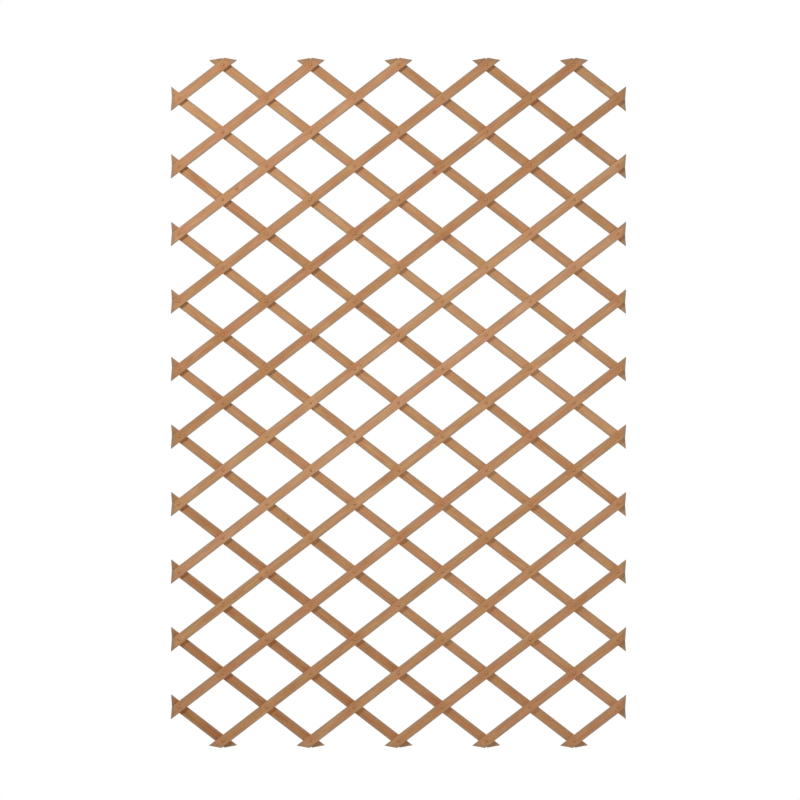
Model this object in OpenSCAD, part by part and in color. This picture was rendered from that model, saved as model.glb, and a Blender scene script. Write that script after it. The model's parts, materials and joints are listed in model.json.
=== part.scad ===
// Expanding wooden plant trellis panel.
// Two layers of flat slats cross on the slant, with one rivet through every crossing, so the whole
// lattice opens and closes like a pair of scissors. Seen from the front, X runs to the right and
// Z up, and Y points away from the viewer, to the wall that the panel hangs on.
// The origin is on the centre rivet's axis, half way between the two layers.

/* [Lattice] */
// Whole diamonds in the width of the panel
diamonds_across = 5; // [3:2:7]
// Whole diamonds in the height of the panel
diamonds_up = 10; // [6:2:12]
// Distance from rivet to rivet along a slat
rivet_pitch = 144; // [80:1:240]
// Angle of the slats from the horizontal as the panel stands open
open_angle = 37.6; // [15:0.1:75]
// Running gap between the two layers of slats
layer_gap = 0.1; // [0.05:0.05:0.5]

/* [Slats] */
// Width of a slat
slat_w = 25; // [15:0.5:40]
// Thickness of a slat
slat_t = 6; // [4:0.5:12]
// Length of a slat past its last rivet, to the middle of the end cut
end_overhang = 25; // [20:0.5:60]
// Angle of the end cut to the length of the slat
end_cut_angle = 48; // [40:1:75]

/* [Rivets] */
// Diameter of the domed head
head_d = 7; // [5:0.1:10]
// Height of the domed head, and of the rolled tail, over their seats
rivet_rise = 1.5; // [1.2:0.1:2.4]
// Diameter of the shank
shank_d = 3; // [2.4:0.1:4]
// Diameter of the hollow in the tail
hollow_d = 1.8; // [1:0.1:2]
// Depth of the hollow in the tail
hollow_depth = 5; // [3:0.5:7]
// Running clearance of the shank in its holes, all round
shank_clearance = 0.05; // [0.02:0.01:0.1]
// Depth to which heads and tails are pressed into the wood
seat_depth = 0.5; // [0.3:0.1:1]
// Room all round a head or a tail in its pressed seat
seat_clearance = 0.2; // [0.1:0.05:0.5]

/* [Hidden] */
$fn = 48;
// Half diamonds across and up, which count the crossings from the top left corner
steps_across = 2 * diamonds_across;
steps_up = 2 * diamonds_up;
step_x = rivet_pitch * cos(open_angle);
step_z = rivet_pitch * sin(open_angle);
// Slats in each layer, numbered from the top down
slat_count = diamonds_across + diamonds_up;
centre_slat = (slat_count + 1) / 2;
// How far a slanted end cut runs along the slat on each side of its middle
cut_run = slat_w / 2 / tan(end_cut_angle);
// Rivet between its two seats, and the shapes at its ends
grip = 2 * slat_t + layer_gap - 2 * seat_depth;
dome_r = (pow(head_d / 2, 2) + pow(rivet_rise, 2)) / (2 * rivet_rise);
tail_d = 4 * rivet_rise;
hole_d = shank_d + 2 * shank_clearance;
head_seat_d = head_d + 2 * seat_clearance;
tail_seat_d = tail_d + 2 * seat_clearance;
// Extra length that carries a cut clear of the face it opens
cut_past = 1;

front_colour = "#bd8a5c";
rear_colour = "#b07d50";
rivet_colour = "#84623f";

function node_name(piece, n) = str(piece, n < 10 ? "_0" : "_", n);

// A slat meets the panel's edges at its first and last step from the left
function first_step(n) = max(0, 2 * n - 1 - steps_up);
function last_step(n) = min(steps_across, 2 * n - 1);

// Where front slat n has its crossing at a step from the left, as the front view shows it
function crossing(n, step) = [
    (step - diamonds_across) * step_x,
    (diamonds_up - (2 * n - 1 - step)) * step_z
];

function is_centre(n, step) = n == centre_slat && step == diamonds_across;

// Stands the front view up: its depth then runs towards the viewer
module upright() {
    rotate([90, 0, 0]) children();
}

// A slat flat on the bench, along X from its first rivet. The ends that finish on the panel's sides
// and those that finish on its top and bottom are cut the opposite way.
module slat_outline(n) {
    last_rivet = (last_step(n) - first_step(n)) * rivet_pitch;
    left_run = first_step(n) == 0 ? cut_run : -cut_run;
    right_run = last_step(n) == steps_across ? cut_run : -cut_run;
    polygon([
        [-end_overhang - left_run, -slat_w / 2],
        [last_rivet + end_overhang - right_run, -slat_w / 2],
        [last_rivet + end_overhang + right_run, slat_w / 2],
        [-end_overhang + left_run, slat_w / 2]
    ]);
}

// Slat n of the front layer, with a hole and a pressed seat for every rivet
module slat(n, seat_d) {
    translate([0, 0, layer_gap / 2]) translate(crossing(n, first_step(n))) rotate(open_angle)
    difference() {
        linear_extrude(slat_t) slat_outline(n);
        for (hole = [0:last_step(n) - first_step(n)]) translate([hole * rivet_pitch, 0, 0]) {
            translate([0, 0, -cut_past]) cylinder(d = hole_d, h = slat_t + 2 * cut_past);
            translate([0, 0, slat_t - seat_depth]) cylinder(d = seat_d, h = seat_depth + cut_past);
        }
    }
}

// Half section of a rivet: domed head on top, shank, and a hollow tail rolled to a half-round ring
module rivet_section() {
    difference() {
        union() {
            translate([0, -grip / 2]) square([shank_d / 2, grip]);
            translate([0, grip / 2]) intersection() {
                translate([0, rivet_rise - dome_r]) circle(r = dome_r);
                square([head_d, 2 * rivet_rise]);
            }
            translate([0, -grip / 2]) intersection() {
                translate([tail_d / 4, 0]) circle(d = tail_d / 2);
                translate([0, -2 * rivet_rise]) square([tail_d, 2 * rivet_rise]);
            }
        }
        translate([0, -grip / 2 - rivet_rise - cut_past]) square([hollow_d / 2, hollow_depth + cut_past]);
    }
}

module rivet() {
    rotate_extrude() rivet_section();
}

// Front layer: slats that rise to the right, with the heads' seats in their faces
module front_slat(n) {
    color(front_colour) upright() slat(n, head_seat_d);
}

// Rear layer: the front layer turned half round, with the tails' seats in its backs
module rear_slat(n) {
    color(rear_colour) upright() rotate([0, 180, 0]) slat(n, tail_seat_d);
}

// The rivets that front slat n turns with
module rivet_row(n) {
    color(rivet_colour) upright()
    for (step = [first_step(n):last_step(n)])
        if (!is_centre(n, step)) translate(crossing(n, step)) rivet();
}

// The rivet in the middle of the panel, which both middle slats turn on
module centre_rivet() {
    color(rivet_colour) upright() rivet();
}

centre_rivet();
for (n = [1:slat_count]) {
    front_slat(n);
    rear_slat(n);
    rivet_row(n);
}
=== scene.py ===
import json
import math
import random

import bmesh
import bpy
from mathutils import Matrix, Vector


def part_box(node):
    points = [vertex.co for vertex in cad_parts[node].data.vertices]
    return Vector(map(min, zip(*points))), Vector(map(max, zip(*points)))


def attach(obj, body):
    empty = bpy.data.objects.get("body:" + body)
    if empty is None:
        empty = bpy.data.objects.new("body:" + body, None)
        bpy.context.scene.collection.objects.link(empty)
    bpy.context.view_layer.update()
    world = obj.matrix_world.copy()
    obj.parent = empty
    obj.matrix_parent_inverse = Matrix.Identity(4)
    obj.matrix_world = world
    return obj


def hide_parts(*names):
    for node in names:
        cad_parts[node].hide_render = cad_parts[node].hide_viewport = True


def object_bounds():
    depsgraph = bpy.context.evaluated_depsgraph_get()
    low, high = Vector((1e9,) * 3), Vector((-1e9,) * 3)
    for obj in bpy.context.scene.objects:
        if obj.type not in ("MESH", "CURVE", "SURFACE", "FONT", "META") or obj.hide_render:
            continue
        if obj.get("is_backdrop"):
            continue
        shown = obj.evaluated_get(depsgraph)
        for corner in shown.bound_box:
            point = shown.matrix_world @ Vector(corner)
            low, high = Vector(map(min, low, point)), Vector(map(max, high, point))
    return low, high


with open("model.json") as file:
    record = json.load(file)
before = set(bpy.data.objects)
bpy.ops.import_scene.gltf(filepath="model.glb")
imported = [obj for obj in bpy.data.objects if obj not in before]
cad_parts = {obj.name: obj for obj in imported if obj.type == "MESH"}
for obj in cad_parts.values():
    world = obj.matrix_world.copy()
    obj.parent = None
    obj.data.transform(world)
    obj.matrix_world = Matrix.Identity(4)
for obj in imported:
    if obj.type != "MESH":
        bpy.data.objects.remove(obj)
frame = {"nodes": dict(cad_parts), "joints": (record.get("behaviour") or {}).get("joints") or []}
cad_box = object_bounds()

# Front slats
# Fifteen laths sawn from softwood and stained honey brown, which rise to the right across the front.
# Their ends are cut on the slant, and the riveting press leaves a shallow dent round every rivet.
diamonds_across = 5
slat_count = sum(node.startswith("front_slat_") for node in frame["nodes"])
diamonds_up = slat_count - diamonds_across

# The rear slat next to the middle one turns on the next rivet up the middle front slat
joint_places = {joint["name"]: Vector(joint["pos_m"]) for joint in frame["joints"]}
rivet_step = joint_places["rear_slat_07_pivot"] - joint_places["fold"]
rivet_pitch = rivet_step.length
open_angle = math.atan2(rivet_step.z, rivet_step.x)

face, inner_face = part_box("front_slat_01")
slat_thickness = inner_face.y - face.y
layer_gap = -2 * inner_face.y
slat_width = 0.025
end_overhang = 0.025
end_cut_angle = math.radians(48)
cut_run = slat_width / 2 / math.tan(end_cut_angle)
arris_radius = 0.0009
cut_ease = 0.0004
hole_radius = 0.00155
dent_radius = 0.0038
dent_lip = 0.0018
dent_depth = 0.0005
edge_wander = 0.0004
slat_bow = 0.0003


class Wire:
    """A value in a node tree. Arithmetic on it adds Math nodes, and node() adds a node of any kind."""

    def __init__(self, tree, socket=None):
        self.tree = tree
        self.socket = socket

    def node(self, kind, settings=(), sockets=(), out=0):
        """Adds a node with its settings and the values or wires of its sockets, and returns one output."""
        added = self.tree.nodes.new(kind)
        for name, value in dict(settings).items():
            setattr(added, name, value)
        for name, value in dict(sockets).items():
            if isinstance(value, Wire):
                self.tree.links.new(value.socket, added.inputs[name])
            else:
                added.inputs[name].default_value = value
        return Wire(self.tree, added.outputs[out]) if added.outputs else None

    def also(self, out):
        """Another output of the node that this value comes from."""
        return Wire(self.tree, self.socket.node.outputs[out])

    def math(self, operation, *terms):
        return self.node("ShaderNodeMath", {"operation": operation}, enumerate(terms))

    def __add__(self, other):
        return self.math("ADD", self, other)

    def __sub__(self, other):
        return self.math("SUBTRACT", self, other)

    def __rsub__(self, other):
        return self.math("SUBTRACT", other, self)

    def __mul__(self, other):
        return self.math("MULTIPLY", self, other)

    def __truediv__(self, other):
        return self.math("DIVIDE", self, other)

    def __rtruediv__(self, other):
        return self.math("DIVIDE", other, self)

    def __pow__(self, other):
        return self.math("POWER", self, other)

    def __gt__(self, other):
        return self.math("GREATER_THAN", self, other)

    def __lt__(self, other):
        return self.math("LESS_THAN", self, other)

    def __abs__(self):
        return self.math("ABSOLUTE", self)

    def __round__(self):
        return self.math("ROUND", self)

    __radd__ = __add__
    __rmul__ = __mul__

    def sign(self):
        return self.math("SIGN", self)

    def sine(self):
        return self.math("SINE", self)

    def fraction(self):
        return self.math("FRACT", self)

    def at_least(self, low):
        return self.math("MAXIMUM", self, low)

    def at_most(self, high):
        return self.math("MINIMUM", self, high)

    def fade(self, start, end):
        """Runs smoothly from 0 at start to 1 at end, whichever of them is the larger."""
        limits = {"Value": self, "From Min": start, "From Max": end}
        return self.node("ShaderNodeMapRange", {"interpolation_type": "SMOOTHSTEP"}, limits)

    def between(self, first, second):
        """Runs from one colour to another as this value goes from 0 to 1."""
        return self.node("ShaderNodeMix", {"data_type": "RGBA"}, {0: self, 6: first, 7: second}, out=2)

    def xyz(self):
        x = self.node("ShaderNodeSeparateXYZ", {}, {0: self})
        return x, x.also(1), x.also(2)

    def vector(self, x, y, z):
        return self.node("ShaderNodeCombineXYZ", {}, enumerate((x, y, z)))


def named_inputs(tree, kinds):
    """Gives a Geometry Nodes tree its output and these inputs, and returns the inputs' wires by name."""
    tree.interface.new_socket("Geometry", in_out="OUTPUT", socket_type="NodeSocketGeometry")
    for name, kind in kinds.items():
        tree.interface.new_socket(name, in_out="INPUT", socket_type="NodeSocket" + kind)
    entry = Wire(tree).node("NodeGroupInput")
    return {name: entry.also(name) for name in kinds}


def store(shape, name, value, data_type="FLOAT", domain="POINT"):
    settings = {"data_type": data_type, "domain": domain}
    sockets = {"Geometry": shape, "Name": name, "Value": value}
    return shape.node("GeometryNodeStoreNamedAttribute", settings, sockets)


def shade(shape, sharp_edge):
    """Shades a shape smooth, but for the edges that turn by more than this angle."""
    smooth = shape.node("GeometryNodeSetShadeSmooth", {"domain": "FACE"}, {"Geometry": shape})
    sharp = shape.node("GeometryNodeInputMeshEdgeAngle") > sharp_edge
    sockets = {"Geometry": smooth, "Selection": sharp, "Shade Smooth": False}
    return shape.node("GeometryNodeSetShadeSmooth", {"domain": "EDGE"}, sockets)


def close_tree(shape, material):
    """Ends a Geometry Nodes tree: what it made becomes one mesh of one material."""
    whole = shape.node("GeometryNodeRealizeInstances", {}, {"Geometry": shape})
    dressed = shape.node("GeometryNodeSetMaterial", {}, {"Geometry": whole, "Material": material})
    shape.node("NodeGroupOutput", {}, {"Geometry": dressed})


def sawn_slat_tree():
    """A slat on the bench: X along it from its first rivet, Y across it, Z up from the other layer."""
    rings_per_span = 24
    end_rings = 10
    columns = 15
    layers = 6
    # How closely the rings and columns crowd round the rivets, where the holes and dents are
    crowding = 0.9
    end_crowding = 1.8
    # Rings and columns on each side of a rivet that close up on the rim of its hole
    rim_rings = 2
    plug_reach = 1.2
    merge_distance = 0.00001
    sharp_edge = math.radians(35)
    # Lengths of the waves in a sawn edge and in the whole slat, and the rows of noise that they follow
    edge_wave = 0.05
    bow_wave = 0.4
    edge_row = 5
    bow_row = 20
    seed_step = 1.7

    tree = bpy.data.node_groups.new("sawn_slat", "GeometryNodeTree")
    size = named_inputs(tree, {
        "Rivets": "Int",
        "Rivet pitch": "Float",
        "Width": "Float",
        "Thickness": "Float",
        "Layer gap": "Float",
        "Overhang": "Float",
        "Left run": "Float",
        "Right run": "Float",
        "Arris radius": "Float",
        "Cut ease": "Float",
        "Hole radius": "Float",
        "Dent radius": "Float",
        "Dent lip": "Float",
        "Dent depth": "Float",
        "Edge wander": "Float",
        "Bow": "Float",
        "Stain": "Float",
        "Seed": "Int",
        "Material": "Material",
    })
    bench = Wire(tree)
    spans = size["Rivets"] - 1
    last_ring = spans * rings_per_span + 2 * end_rings
    block_points = {"Vertices X": last_ring + 1, "Vertices Y": columns, "Vertices Z": layers}
    block = bench.node("GeometryNodeMeshCube", {}, block_points)
    u, v, w = bench.node("GeometryNodeInputPosition").xyz()
    ring = round((u + 0.5) * last_ring)
    on_left_cut = ring < 0.5
    on_right_cut = ring > last_ring - 0.5
    on_cut = on_left_cut + on_right_cut

    def crowd(count):
        return count - (count * math.tau).sine() * (crowding / math.tau)

    # Section: the block's rows move to the start, middle and end of the rounding along each long edge
    half_width = size["Width"] / 2
    half_thickness = size["Thickness"] / 2
    arris = size["Arris radius"]
    wide = abs(crowd(v * 2)) * half_width
    deep = half_thickness - arris * (0.5 - abs(w)) / (0.5 - 0.5 / (layers - 1))
    past_flat = (wide - (half_width - arris)).at_least(0)
    past_edge = (deep - (half_thickness - arris)).at_least(0)
    pull_in = (arris / (past_flat ** 2 + past_edge ** 2) ** 0.5).at_most(1)
    wide = wide.at_most(half_width - arris) + past_flat * pull_in
    deep = deep.at_most(half_thickness - arris) + past_edge * pull_in
    side = v.sign()
    across = side * wide * (1 - on_cut * size["Cut ease"] / half_width)
    through = w.sign() * deep * (1 - on_cut * size["Cut ease"] / half_thickness)

    # Length: the rings stand closest at the rivets, and the last one on each side lies on the slanted cut
    to_left = ((end_rings - ring) / (end_rings - 1)).at_least(0).at_most(1) ** end_crowding
    to_right = ((ring - last_ring + end_rings) / (end_rings - 1)).at_least(0).at_most(1) ** end_crowding
    spans_along = ((ring - end_rings) / rings_per_span).at_least(0).at_most(spans)
    left_cut = size["Overhang"] - size["Left run"] * across / half_width
    right_cut = size["Overhang"] + size["Right run"] * across / half_width
    last_rivet = spans * size["Rivet pitch"]
    along = (
        crowd(spans_along) * size["Rivet pitch"]
        - to_left * (left_cut - size["Cut ease"]) - on_left_cut * size["Cut ease"]
        + to_right * (right_cut - size["Cut ease"]) + on_right_cut * size["Cut ease"]
    )

    # Drill: the points round each rivet move to the rim of its hole
    rivet = round(along / size["Rivet pitch"]).at_least(0).at_most(spans)
    off_ring = ring - end_rings - rivet * rings_per_span
    off_column = v * (columns - 1)
    drilled = (abs(off_ring) < rim_rings + 0.5) * (abs(off_column) < rim_rings + 0.5)
    spoke = size["Hole radius"] / (off_ring ** 2 + off_column ** 2) ** 0.5
    along = along + drilled * (rivet * size["Rivet pitch"] + off_ring * spoke - along)
    across = across + drilled * (off_column * spoke - across)

    # Saw: each edge wanders by itself, and the whole slat bows a little
    def waver(length, row):
        place = bench.vector(along / length, row, size["Seed"] * seed_step)
        return bench.node("ShaderNodeTexNoise", {}, {"Vector": place, "Scale": 1.0, "Detail": 1.0}) - 0.5

    sawn = across + waver(edge_wave, side * edge_row) * size["Edge wander"] * wide / half_width
    sawn = sawn + waver(bow_wave, bow_row) * size["Bow"] * (1 - drilled)

    # Press: the wood is pushed in round each rivet on the outer face
    from_rivet = ((along - rivet * size["Rivet pitch"]) ** 2 + across ** 2) ** 0.5
    dent = from_rivet.fade(size["Dent radius"] + size["Dent lip"], size["Dent radius"]) * size["Dent depth"]
    on_outer_face = w > 0.5 - 0.5 / layers
    height = size["Layer gap"] / 2 + half_thickness + through - dent * on_outer_face

    # The wood's own measures stay with it for the stain: along, across and through, and off the cut
    off_cut = (along + left_cut).at_most(last_rivet + right_cut - along)
    cut_face = abs(bench.node("GeometryNodeInputNormal").xyz()[0]) > 0.5
    slat = store(block, "grain", bench.vector(along, across, through), "FLOAT_VECTOR")
    slat = store(slat, "off_cut", off_cut)
    slat = store(slat, "from_rivet", from_rivet)
    slat = store(slat, "slat_seed", size["Seed"])
    slat = store(slat, "slat_stain", size["Stain"])
    slat = store(slat, "cut_face", cut_face, domain="FACE")
    place = bench.vector(along, sawn, height)
    slat = bench.node("GeometryNodeSetPosition", {}, {"Geometry": slat, "Position": place})

    # The faces inside each rim come out, and the outer rims are drawn through to the inner ones
    rim_distance = bench.node("GeometryNodeInputNamedAttribute", {}, {"Name": "from_rivet"})
    plugs = {"Geometry": slat, "Selection": rim_distance < size["Hole radius"] * plug_reach}
    slat = bench.node("GeometryNodeDeleteGeometry", {"domain": "FACE"}, plugs)
    on_rim = bench.node("GeometryNodeInputMeshEdgeNeighbors") < 1.5
    outer = bench.node("GeometryNodeInputPosition").xyz()[2] > size["Layer gap"] / 2 + half_thickness
    through_slat = bench.vector(0, 0, size["Dent depth"] - size["Thickness"])
    rims = {"Mesh": slat, "Selection": on_rim * outer, "Offset": through_slat, "Offset Scale": 1.0}
    slat = bench.node("GeometryNodeExtrudeMesh", {"mode": "EDGES"}, rims)
    slat = bench.node("GeometryNodeMergeByDistance", {}, {"Geometry": slat, "Distance": merge_distance})
    close_tree(shade(slat, sharp_edge), size["Material"])
    return tree


def grow(name, tree, sizes, place):
    """A piece that a tree makes to these sizes, turned into a plain mesh and set in its place."""
    piece = bpy.data.objects.new(name, bpy.data.meshes.new(name))
    bpy.context.scene.collection.objects.link(piece)
    modifier = piece.modifiers.new("grow", "NODES")
    modifier.node_group = tree
    for socket in tree.interface.items_tree:
        if socket.in_out == "INPUT":
            modifier[socket.identifier] = sizes[socket.name]
    depsgraph = bpy.context.evaluated_depsgraph_get()
    mesh = bpy.data.meshes.new_from_object(piece.evaluated_get(depsgraph), depsgraph=depsgraph)
    piece.modifiers.remove(modifier)
    piece.data = mesh
    mesh.name = name
    mesh.transform(place)
    return piece


def empty_nodes(owner):
    """Clears the nodes of a material or of the world, and returns a wire to lay new ones with."""
    owner.use_nodes = True
    owner.node_tree.nodes.clear()
    return Wire(owner.node_tree)


def stained_wood(name, honey, rosy):
    """Straight-grained softwood under one coat of stain, weathered grey along its edges and at its cuts."""
    weathered = (0.298, 0.214, 0.145, 1)
    weathered_end = (0.255, 0.167, 0.099, 1)
    end_grain = (0.165, 0.105, 0.065, 1)
    knot_brown = (0.17, 0.075, 0.032, 1)
    wood_shine = 0.3
    slat_shift = 7.3

    material = bpy.data.materials.new(name)
    wood = empty_nodes(material)

    def measure(attribute, out="Fac"):
        return wood.node("ShaderNodeAttribute", {"attribute_name": attribute}, out=out)

    along, across, through = measure("grain", "Vector").xyz()
    from_rivet = measure("from_rivet")
    seed = measure("slat_seed")
    chances = wood.node("ShaderNodeTexWhiteNoise", {"noise_dimensions": "1D"}, {"W": seed}, out="Color")
    chance_side, chance_depth, chance_hue = chances.xyz()

    def marks(length, width, detail=2.0, shift=0.0):
        """Noise around 0, whose marks are about that long and that wide."""
        place = wood.vector(along / length + seed * slat_shift + shift, across / width, through / width)
        return wood.node("ShaderNodeTexNoise", {}, {"Vector": place, "Scale": 1.0, "Detail": detail}) - 0.5

    # Pin knots, which the growth rings bend round
    knot_spacing = 0.9
    knot_shift = 3.1
    knot_band = 0.7
    knotless_share = 0.4
    knot_radius = 0.0024
    least_knot = 0.00001
    knot_core = 0.5
    knot_swell = 4
    cell = {"W": along / knot_spacing + seed * knot_shift, "Scale": 1.0}
    to_knot = wood.node("ShaderNodeTexVoronoi", {"voronoi_dimensions": "1D"}, cell)
    knot_side, knot_chance, _ = to_knot.also("Color").xyz()
    knot_across = across - (knot_side - 0.5) * knot_band * slat_width
    from_knot = ((to_knot * knot_spacing) ** 2 + knot_across ** 2) ** 0.5
    knot_reach = knot_chance.fade(knotless_share, 1.0) * knot_radius + least_knot
    knot = from_knot.fade(knot_reach, knot_reach * knot_core)
    round_knot = from_knot.fade(knot_reach * knot_swell, knot_reach)

    # Growth rings about a pith that lies off the slat and strays along it
    ring_gap = 0.0022
    pith_spread = 0.09
    pith_nearest = 0.012
    pith_range = 0.05
    stray_across = 0.024
    stray_depth = 0.02
    ring_ripple = 1.2
    knot_bend = 1.5
    late_begins = 0.3
    late_darkest = 0.9
    late_stops = 0.92
    straying = marks(length=0.3, width=1.0, detail=1.0) * stray_across
    pith_across = (chance_side - 0.5) * pith_spread + straying
    straying = marks(length=0.5, width=1.0, detail=1.0, shift=31.0) * stray_depth
    pith_depth = pith_nearest + chance_depth * pith_range + straying
    from_pith = ((across - pith_across) ** 2 + (through - pith_depth) ** 2) ** 0.5
    ripple = marks(length=0.05, width=0.006, shift=11.0) * ring_ripple
    ring = (from_pith / ring_gap + ripple + round_knot * knot_bend).fraction()
    late = ring.fade(late_begins, late_darkest) * ring.fade(1.0, late_stops)

    # Finer marks: fibres, long streaks, broad patches and open pores
    pore_edge = 0.16
    pore_middle = 0.24
    fibre = marks(length=0.022, width=0.0007, detail=3.0, shift=3.0)
    streak = marks(length=0.08, width=0.0035, shift=5.0)
    patch = marks(length=0.07, width=0.03, shift=17.0)
    pore = marks(length=0.006, width=0.0004, detail=1.0, shift=23.0).fade(pore_edge, pore_middle)

    # Uneven stain makes the wood darker and redder; round the crossings it is stain and painted shade
    # together
    hue_patches = 2.6
    hue_low = 0.2
    hue_range = 0.6
    late_soak = 0.16
    fibre_soak = 0.3
    streak_soak = 0.3
    patch_soak = 0.45
    pore_soak = 0.2
    knot_soak = 0.25
    knot_depth = 0.6
    press_reach = 0.01
    press_full = 0.0036
    press_soak = 0.055
    # Reach and depth of the darkening round each crossing, which is partly stain and partly painted shade
    crossing_reach = 0.032
    crossing_full = 0.014
    crossing_soak_and_shade = 0.03
    hue = marks(length=0.06, width=0.025, shift=53.0) * hue_patches + hue_low + chance_hue * hue_range
    pressed = from_rivet.fade(press_reach, press_full)
    at_crossing = from_rivet.fade(crossing_reach, crossing_full)
    soak = 1 + late * (late_soak + streak * streak_soak) + fibre * fibre_soak + streak * streak_soak
    soak = soak + patch * patch_soak + pore * pore_soak + round_knot * knot_soak
    # Painted shade: the darkening round each crossing also stands for the shade that the slats cast on each
    # other there
    soak = (soak + pressed * press_soak + at_crossing * crossing_soak_and_shade) * measure("slat_stain")
    body = wood.node("ShaderNodeGamma", {}, {"Color": hue.between(honey, rosy), "Gamma": soak})
    body = (knot * knot_depth).between(body, knot_brown)

    # Weather greys the wood along its edges, though less at the crossings, and most at the sawn ends
    arris_reach = 0.0014
    arris_full = 0.0004
    arris_wear = 0.2
    edge_reach = 0.009
    edge_full = 0.0015
    edge_wear = 0.55
    streak_wear = 0.8
    fibre_wear = 0.4
    crossing_shelter = 0.75
    cut_reach = 0.018
    cut_wear = 0.7
    cut_fibre = 0.6
    cut_streak = 0.5
    early_end = 0.6
    late_end = 0.4
    off_edge = slat_width / 2 - abs(across)
    on_arris = off_edge.fade(arris_reach, arris_full)
    near_edge = off_edge.fade(edge_reach, edge_full)
    worn = on_arris * arris_wear + near_edge * (edge_wear + streak * streak_wear + fibre * fibre_wear)
    worn = worn * (1 - at_crossing * crossing_shelter)
    near_cut = measure("off_cut").fade(cut_reach, 0.0)
    body = worn.between(body, weathered)
    body = (near_cut * (cut_wear + fibre * cut_fibre + streak * cut_streak)).between(body, weathered_end)
    body = (measure("cut_face") * (early_end + late * late_end)).between(body, end_grain)

    # Hard latewood stands proud and shines more, and fibres, pores and the saw roughen the rest
    late_relief = 0.00006
    fibre_relief = 0.00012
    saw_relief = 0.00006
    pore_depth = 0.00006
    plain_roughness = 0.7
    late_polish = 0.1
    fibre_roughness = 0.2
    worn_roughness = 0.12
    saw_marks = marks(length=0.012, width=0.02, shift=41.0)
    relief = late * late_relief + fibre * fibre_relief + saw_marks * saw_relief - pore * pore_depth
    sockets = {
        "Base Color": body,
        "Roughness": plain_roughness - late * late_polish + fibre * fibre_roughness + worn * worn_roughness,
        "Normal": wood.node("ShaderNodeBump", {}, {"Strength": 1.0, "Distance": 1.0, "Height": relief}),
        "Specular IOR Level": wood_shine,
    }
    surface = wood.node("ShaderNodeBsdfPrincipled", {}, sockets)
    wood.node("ShaderNodeOutputMaterial", {}, {"Surface": surface})
    return material


def slat_reach(number):
    """The first and the last step from the left side at which a slat has a rivet."""
    return max(0, 2 * number - 1 - 2 * diamonds_up), min(2 * diamonds_across, 2 * number - 1)


def crossing(number, step):
    """Where a front slat has its rivet at a step from the left side, in the front view."""
    steps_down = 2 * number - 1 - step
    return Vector(((step - diamonds_across) * rivet_step.x, (diamonds_up - steps_down) * rivet_step.z, 0))


def lay_slat(node, number, layer_turn, seed, stain, material):
    """One slat of either layer: the rear layer is the front one turned half round."""
    first, last = slat_reach(number)
    sizes = {
        "Rivets": last - first + 1,
        "Rivet pitch": rivet_pitch,
        "Width": slat_width,
        "Thickness": slat_thickness,
        "Layer gap": layer_gap,
        "Overhang": end_overhang,
        "Left run": cut_run if first == 0 else -cut_run,
        "Right run": cut_run if last == 2 * diamonds_across else -cut_run,
        "Arris radius": arris_radius,
        "Cut ease": cut_ease,
        "Hole radius": hole_radius,
        "Dent radius": dent_radius,
        "Dent lip": dent_lip,
        "Dent depth": dent_depth,
        "Edge wander": edge_wander,
        "Bow": slat_bow,
        "Stain": stain,
        "Seed": seed,
        "Material": material,
    }
    along_slat = Matrix.Translation(crossing(number, first)) @ Matrix.Rotation(open_angle, 4, "Z")
    slat = grow(node + "_wood", slat_shape, sizes, upright @ layer_turn @ along_slat)
    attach(slat, node)
    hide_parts(node)
    return slat


# The front view stands up, with its depth towards the viewer
upright = Matrix.Rotation(math.radians(90), 4, "X")
no_turn = Matrix.Identity(4)
slat_shape = sawn_slat_tree()
front_honey = (0.457, 0.248, 0.1075, 1)
front_rosy = (0.457, 0.216, 0.1055, 1)
front_wood = stained_wood("honey_stained_slats", front_honey, front_rosy)
front_spread = 0.1
front_seed = 2156
front_chance = random.Random(front_seed)
for number in range(1, slat_count + 1):
    node = f"front_slat_{number:02d}"
    stain = 1 + front_chance.uniform(-front_spread, front_spread)
    slat = lay_slat(node, number, no_turn, seed=number, stain=stain, material=front_wood)

# Rear slats
# The same laths turned half round, so that they rise to the left behind the front ones.
# The lowest of them took the stain deeper, and the rivets' tails are pressed into their backs.
half_turn = Matrix.Rotation(math.pi, 4, "Y")
rear_honey = (0.446, 0.239, 0.0945, 1)
rear_rosy = (0.446, 0.208, 0.0915, 1)
rear_wood = stained_wood("russet_stained_slats", rear_honey, rear_rosy)
usual_stain = 0.97
deepest_stain = 1.2
deeper_from = 9
rear_spread = 0.09
rear_seed = 37853
rear_chance = random.Random(rear_seed)
for number in range(1, slat_count + 1):
    node = f"rear_slat_{number:02d}"
    deeper = max(0, number - deeper_from) / (slat_count - deeper_from)
    stain = usual_stain + (deepest_stain - usual_stain) * deeper
    stain += rear_chance.uniform(-rear_spread, rear_spread)
    slat = lay_slat(node, number, half_turn, seed=slat_count + number, stain=stain, material=rear_wood)

# Rivets
# Semi-tubular brass rivets gone brown: a domed head in front, and a hollow tail rolled over behind.
# Each goes through a front and a rear slat, and a row of them turns with its front slat.
head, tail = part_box("centre_rivet")
head_radius = (tail.x - head.x) / 2
rivet_rise = 0.0015
rim_height = 0.0003
rim_slope = 0.0001
seat_height = -head.y - rivet_rise
shank_radius = 0.0015
hollow_radius = 0.0009
hollow_depth = 0.005
rivet_tilt = math.radians(0.5)


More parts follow.
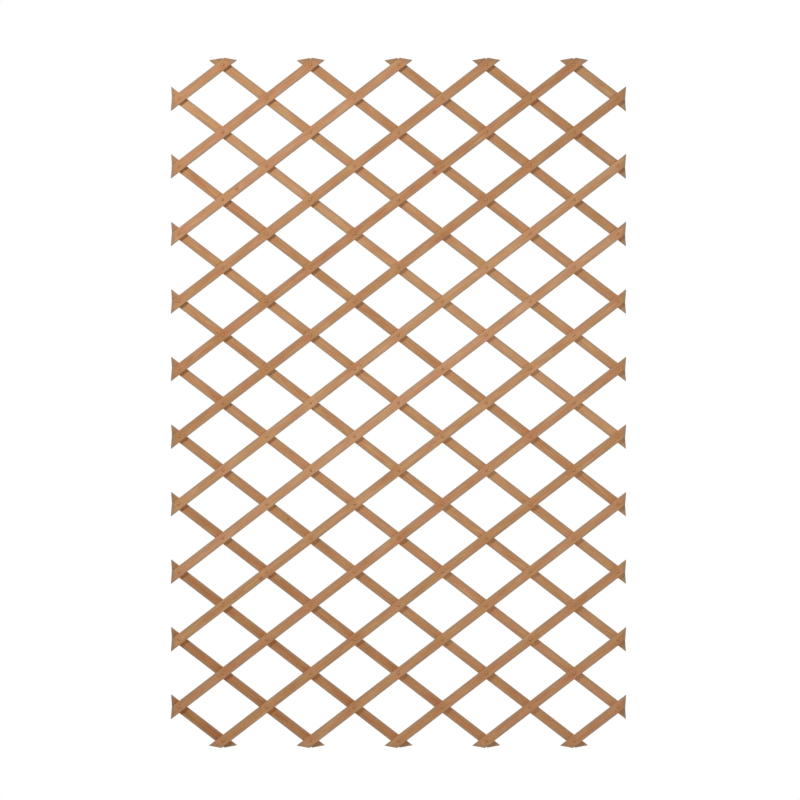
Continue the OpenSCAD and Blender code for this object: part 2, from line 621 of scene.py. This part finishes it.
def rivet_section():
    """Half section of a rivet, from the top of its head down to the end of the hollow in its tail."""
    dome_steps = 4
    roll_steps = 4
    dome_radius = head_radius - rim_slope
    dome_rise = rivet_rise - rim_height
    sphere = (dome_radius ** 2 + dome_rise ** 2) / (2 * dome_rise)
    top = seat_height + rivet_rise
    for step in range(dome_steps + 1):
        angle = math.asin(dome_radius / sphere) * step / dome_steps
        yield sphere * math.sin(angle), top - sphere * (1 - math.cos(angle))
    yield head_radius, seat_height + rim_height / 2
    yield head_radius - rim_slope, seat_height
    yield shank_radius, seat_height
    yield shank_radius, -seat_height
    roll_end = math.acos(hollow_radius / rivet_rise - 1)
    for step in range(roll_steps + 1):
        angle = roll_end * step / roll_steps
        yield rivet_rise * (1 + math.cos(angle)), -seat_height - rivet_rise * math.sin(angle)
    yield hollow_radius, hollow_depth - top
    yield 0, hollow_depth - top


def spun_rivet():
    """The section spun about the rivet's axis into a closed solid."""
    turns = 14
    merge_distance = 0.00001
    spun = bmesh.new()
    corners = [spun.verts.new((radius, 0, height)) for radius, height in rivet_section()]
    edges = [spun.edges.new(pair) for pair in zip(corners, corners[1:])]
    profile = corners + edges
    bmesh.ops.spin(spun, geom=profile, cent=(0, 0, 0), axis=(0, 0, 1), angle=math.tau, steps=turns)
    bmesh.ops.remove_doubles(spun, verts=spun.verts, dist=merge_distance)
    bmesh.ops.recalc_face_normals(spun, faces=spun.faces)
    mesh = bpy.data.meshes.new("rivet")
    spun.to_mesh(mesh)
    spun.free()
    return bpy.data.objects.new("rivet", mesh)


def rivet_row_tree():
    """Rivets in a row along X, with a gap where one is left out."""
    sharp_edge = math.radians(50)
    draws_per_row = 10

    tree = bpy.data.node_groups.new("rivet_row", "GeometryNodeTree")
    size = named_inputs(tree, {
        "Rivets": "Int",
        "Rivet pitch": "Float",
        "Left out": "Int",
        "Rivet": "Object",
        "Tilt": "Float",
        "Seed": "Int",
        "Material": "Material",
    })
    bench = Wire(tree)
    offset = bench.vector(size["Rivet pitch"], 0, 0)
    points = bench.node("GeometryNodeMeshLine", {}, {"Count": size["Rivets"], "Offset": offset})
    kept = abs(bench.node("GeometryNodeInputIndex") - size["Left out"]) > 0.5

    def draw(turn, low, high):
        """A number of its own for each rivet, between two limits."""
        sockets = {2: low, 3: high, "Seed": size["Seed"] * draws_per_row + turn}
        return bench.node("FunctionNodeRandomValue", {}, sockets, out=1)

    lean_x = draw(1, -1, 1) * size["Tilt"]
    lean_y = draw(2, -1, 1) * size["Tilt"]
    lean = bench.vector(lean_x, lean_y, draw(3, 0, math.tau))
    rivet = bench.node("GeometryNodeObjectInfo", {}, {"Object": size["Rivet"]}, out="Geometry")
    set_in = {"Points": points, "Selection": kept, "Instance": rivet, "Rotation": lean}
    row = bench.node("GeometryNodeInstanceOnPoints", {}, set_in)
    row = store(row, "rivet_wear", draw(4, 0, 1), domain="INSTANCE")
    row = bench.node("GeometryNodeRealizeInstances", {}, {"Geometry": row})
    close_tree(shade(row, sharp_edge), size["Material"])
    return tree


def tarnished_brass():
    """Brass gone brown, blotched and darker towards its rim, and rubbed brighter on its highest parts."""
    brown_brass = (0.333, 0.1555, 0.062, 1)
    tarnish = (0.195, 0.0875, 0.033, 1)
    rubbed_brass = (0.38, 0.187, 0.078, 1)
    metal = 0.9

    material = bpy.data.materials.new("tarnished_brass")
    brass = empty_nodes(material)
    place = brass.node("ShaderNodeTexCoord", out="Object")
    height = (abs(place.xyz()[1]) - seat_height) / rivet_rise
    wear = brass.node("ShaderNodeAttribute", {"attribute_name": "rivet_wear"}, out="Fac")

    def mottle(marks_per_metre):
        sockets = {"Vector": place, "Scale": marks_per_metre, "Detail": 3.0}
        return brass.node("ShaderNodeTexNoise", {}, sockets)

    # Tarnish stays in blotches and low down by the rim
    blotches_per_metre = 700
    blotch_edge = 0.42
    blotch_spread = 0.06
    blotch_middle = 0.62
    blotch_tarnish = 0.6
    rim_top = 0.5
    rim_full = 0.15
    rim_tarnish = 0.35
    blotch = mottle(blotches_per_metre).fade(blotch_edge + wear * blotch_spread, blotch_middle)
    dull = (height.fade(rim_top, rim_full) * rim_tarnish).at_least(blotch * blotch_tarnish)

    # Hands and leaves rub the top bright, on some rivets more than on others
    scuffs_per_metre = 1800
    scuff_edge = 0.4
    scuff_middle = 0.65
    rub_from = 0.7
    rubbed = height.fade(rub_from, 1.0) * wear * mottle(scuffs_per_metre).fade(scuff_edge, scuff_middle)
    plain_roughness = 0.5
    tarnish_roughness = 0.15
    rubbed_polish = 0.15
    sockets = {
        "Base Color": rubbed.between(dull.between(brown_brass, tarnish), rubbed_brass),
        "Metallic": metal,
        "Roughness": plain_roughness + dull * tarnish_roughness - rubbed * rubbed_polish,
    }
    surface = brass.node("ShaderNodeBsdfPrincipled", {}, sockets)
    brass.node("ShaderNodeOutputMaterial", {}, {"Surface": surface})
    return material


def set_rivets(node, body, first_place, turn, count, left_out, seed):
    """A row of rivets that stands for a node and rides on a body."""
    sizes = {
        "Rivets": count,
        "Rivet pitch": rivet_pitch,
        "Left out": left_out,
        "Rivet": one_rivet,
        "Tilt": rivet_tilt,
        "Seed": seed,
        "Material": rivet_brass,
    }
    place = upright @ Matrix.Translation(first_place) @ Matrix.Rotation(turn, 4, "Z")
    rivets = grow(node + "_brass", rivet_row, sizes, place)
    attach(rivets, body)
    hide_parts(node)


one_rivet = spun_rivet()
bpy.context.scene.collection.objects.link(one_rivet)
rivet_row = rivet_row_tree()
rivet_brass = tarnished_brass()
middle_slat = (slat_count + 1) // 2
none_left_out = -1
for number in range(1, slat_count + 1):
    first, last = slat_reach(number)
    left_out = diamonds_across - first if number == middle_slat else none_left_out
    set_rivets(
        f"rivet_row_{number:02d}",
        f"front_slat_{number:02d}",
        first_place=crossing(number, first),
        turn=open_angle,
        count=last - first + 1,
        left_out=left_out,
        seed=number,
    )

# Centre rivet
# One more of the same brass rivets, alone in the middle of the panel.
# Both middle slats turn on it, so it is a body of its own.
set_rivets(
    "centre_rivet",
    "centre_rivet",
    first_place=Vector((0, 0, 0)),
    turn=0,
    count=1,
    left_out=none_left_out,
    seed=0,
)
bpy.data.objects.remove(one_rivet)

# Floor
# A plain pale studio floor, clear below the lattice at its tallest.
# It fades out towards its rim into the white room.
floor_drop = 1.55
floor_radius = 2.1
floor_fade_start = 0.9
floor_sides = 96
floor_colour = (0.85, 0.85, 0.84, 1)
floor_roughness = 0.8
floor_mesh = bpy.data.meshes.new("floor")
outline = bmesh.new()
bmesh.ops.create_circle(outline, cap_ends=True, segments=floor_sides, radius=floor_radius)
outline.to_mesh(floor_mesh)
outline.free()
floor_mesh.transform(Matrix.Translation((0, 0, -floor_drop)))
floor = bpy.data.objects.new("floor", floor_mesh)
bpy.context.scene.collection.objects.link(floor)
floor_paint = bpy.data.materials.new("pale_floor")
paint = empty_nodes(floor_paint)
floor_x, floor_y, _ = paint.node("ShaderNodeTexCoord", out="Object").xyz()
off_centre = (floor_x ** 2 + floor_y ** 2) ** 0.5
sockets = {
    "Base Color": floor_colour,
    "Roughness": floor_roughness,
    "Alpha": off_centre.fade(floor_radius, floor_fade_start),
}
surface = paint.node("ShaderNodeBsdfPrincipled", {}, sockets)
paint.node("ShaderNodeOutputMaterial", {}, {"Surface": surface})
floor_mesh.materials.append(floor_paint)
floor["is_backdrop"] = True

# Light
# A near lamp at the upper left throws the shadows, and softer lamps fill in from the right and from behind.
# The room adds even light from all round, and itself looks white.
room_light = 0.24
room_white = (1, 1, 1, 1)


def lamp(name, place, width, share):
    """An area lamp aimed at the middle of the panel, which gives it this share of full light."""
    data = bpy.data.lights.new(name, "AREA")
    data.shape = "DISK"
    data.size = width
    facing = abs(place.y) / place.length
    data.energy = share * math.pi ** 2 * place.length_squared / facing
    lit = bpy.data.objects.new(name, data)
    lit.location = place
    lit.rotation_euler = (-place).to_track_quat("-Z", "Y").to_euler()
    bpy.context.scene.collection.objects.link(lit)


lamp("key_lamp", place=Vector((-2.2, -2.2, 2.35)), width=0.5, share=0.4)
lamp("fill_lamp", place=Vector((0.6, -2.0, -0.05)), width=1.2, share=0.42)
lamp("back_lamp", place=Vector((1.6, 3.0, 2.0)), width=1.5, share=0.7)
world = bpy.data.worlds.new("white_room")
room = empty_nodes(world)
ray = room.node("ShaderNodeLightPath")
seen = ray.also("Is Camera Ray").at_least(ray.also("Is Glossy Ray"))
seen = seen.at_least(ray.also("Is Transmission Ray"))
strength = room_light + seen * (1 - room_light)
sky = room.node("ShaderNodeBackground", {}, {"Color": room_white, "Strength": strength})
room.node("ShaderNodeOutputWorld", {}, {"Surface": sky})
bpy.context.scene.world = world
bpy.context.scene.view_settings.view_transform = "Standard"

# Camera
# Square on to the panel through a long lens.
# It frames the panel as the photograph does, a little left of the middle and below it.
lens = 100
sensor = 36
photo_side = 800
metres_per_pixel = 0.002598
panel_centre = (398.5, 402.8)
distance = lens * photo_side * metres_per_pixel / sensor
camera_data = bpy.data.cameras.new("camera")
camera_data.lens = lens
camera_data.sensor_width = sensor
camera = bpy.data.objects.new("camera", camera_data)
camera.location = (
    (photo_side / 2 - panel_centre[0]) * metres_per_pixel,
    face.y - distance,
    (panel_centre[1] - photo_side / 2) * metres_per_pixel,
)
camera.rotation_euler = (math.radians(90), 0, 0)
bpy.context.scene.collection.objects.link(camera)
bpy.context.scene.camera = camera

visual_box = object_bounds()
{"cad": [list(c) for c in cad_box], "visual": [list(c) for c in visual_box]}
